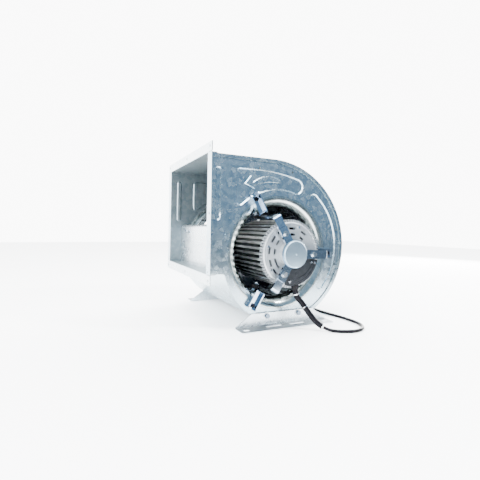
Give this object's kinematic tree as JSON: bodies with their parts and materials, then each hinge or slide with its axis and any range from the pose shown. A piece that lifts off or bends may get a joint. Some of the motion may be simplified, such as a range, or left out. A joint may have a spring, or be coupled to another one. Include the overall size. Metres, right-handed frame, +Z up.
{
  "type": "centrifugal blower",
  "caption": "Double-inlet forward-curved centrifugal blower in a galvanised scroll housing, with a finned motor hung in one inlet on a bracket with rubber isolators.",
  "frame": {"origin": "centre of the rectangle of end slots in the two feet, on the plane that the feet stand on", "axes": "+Z up; the shaft runs along Y, with the motor side facing -Y; the outlet faces -X"},
  "size_m": [0.3614, 0.4575, 0.3955],
  "materials": {
    "galvanised": "zinc spangle, satin",
    "zinc_plated": "bright zinc, slightly blue",
    "black_steel": "black oxide, satin",
    "cast_aluminium": "fine cast",
    "satin_cap": "satin",
    "dark_plastic": "semi-gloss",
    "black_rubber": "matt",
    "machined_steel": "turned",
    "core_steel": "laminated",
    "copper": "enamelled copper",
    "lead_jacket": "satin sleeve",
    "connector_plastic": "moulded"
  },
  "bodies": {
    "housing": {"arm_strap_lower": "zinc_plated", "arm_strap_right": "zinc_plated", "arm_strap_upper": "zinc_plated", "bearing_shell_inner": "machined_steel", "bearing_shell_outer": "machined_steel", "clip_bolts": "black_steel", "cutoff_plate": "galvanised", "cutoff_screws": "zinc_plated", "end_shield_inner": "cast_aluminium", "end_shield_outer": "cast_aluminium", "end_shield_screws": "zinc_plated", "flange_angle_bottom": "galvanised", "flange_angle_top": "galvanised", "flange_rivets": "zinc_plated", "foot_far_side": "galvanised", "foot_motor_side": "galvanised", "foot_screws": "zinc_plated", "hub_cap": "satin_cap", "hub_screws": "zinc_plated", "inlet_ring_far_side": "galvanised", "inlet_ring_motor_side": "galvanised", "isolator_bolts": "zinc_plated", "isolator_lower": "black_rubber", "isolator_right": "black_rubber", "isolator_upper": "black_rubber", "lead_cable": "lead_jacket", "lead_coil": "lead_jacket", "lead_connector": "connector_plastic", "lead_sleeve": "lead_jacket", "lug_bolts": "zinc_plated", "motor_frame": "cast_aluminium", "mount_clip_lower": "zinc_plated", "mount_clip_right": "zinc_plated", "mount_clip_upper": "zinc_plated", "preload_washer": "zinc_plated", "scroll_wrapper": "galvanised", "side_plate_far_side": "galvanised", "side_plate_motor_side": "galvanised", "spider_plate": "zinc_plated", "stator_core": "core_steel", "stator_windings": "copper", "strain_relief": "black_rubber", "terminal_cover": "dark_plastic", "terminal_cover_screws": "zinc_plated"},
    "rotor": {"motor_shaft": "machined_steel", "rotor_core": "core_steel", "rotor_end_rings": "cast_aluminium", "shaft_circlip": "zinc_plated", "bearing_race_outer": "machined_steel", "bearing_race_inner": "machined_steel", "wheel_hub": "machined_steel", "hub_set_screw": "black_steel", "wheel_disc": "galvanised", "hub_rivets": "zinc_plated", "blades_motor_side": "galvanised", "blades_far_side": "galvanised", "wheel_ring_motor_side": "galvanised", "wheel_ring_far_side": "galvanised"}
  },
  "joints": [
    {"name": "wheel_spin", "type": "hinge", "parent": "housing", "child": "rotor", "pos_m": [-0.01, 0, 0.164], "axis": [0, 1, 0], "continuous": true}
  ]
}
